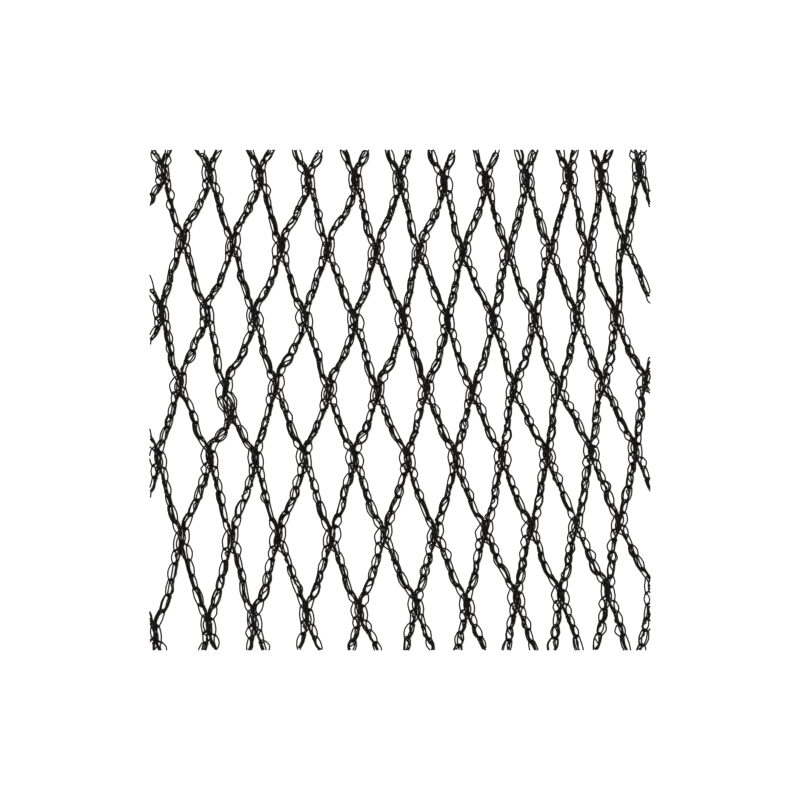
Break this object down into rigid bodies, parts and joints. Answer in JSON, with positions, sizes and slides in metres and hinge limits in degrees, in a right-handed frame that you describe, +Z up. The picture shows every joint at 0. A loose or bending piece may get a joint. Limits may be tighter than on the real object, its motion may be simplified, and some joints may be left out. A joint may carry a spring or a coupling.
{
  "type": "knitted pond netting",
  "caption": "Cut square of black knitted diamond-mesh pond netting, open and lying flat, with cut strand ends along all four edges.",
  "frame": {"origin": "on the surface the netting lies on, under the middle of its square", "axes": "+Z up out of the net, +Y along the knitted wales towards the top edge, +X across them to the right"},
  "size_m": [0.1, 0.1, 0.0012],
  "materials": {
    "net_filament": "black polyethylene monofilament, satin"
  },
  "bodies": {
    "root": {"netting": "net_filament"}
  },
  "joints": []
}
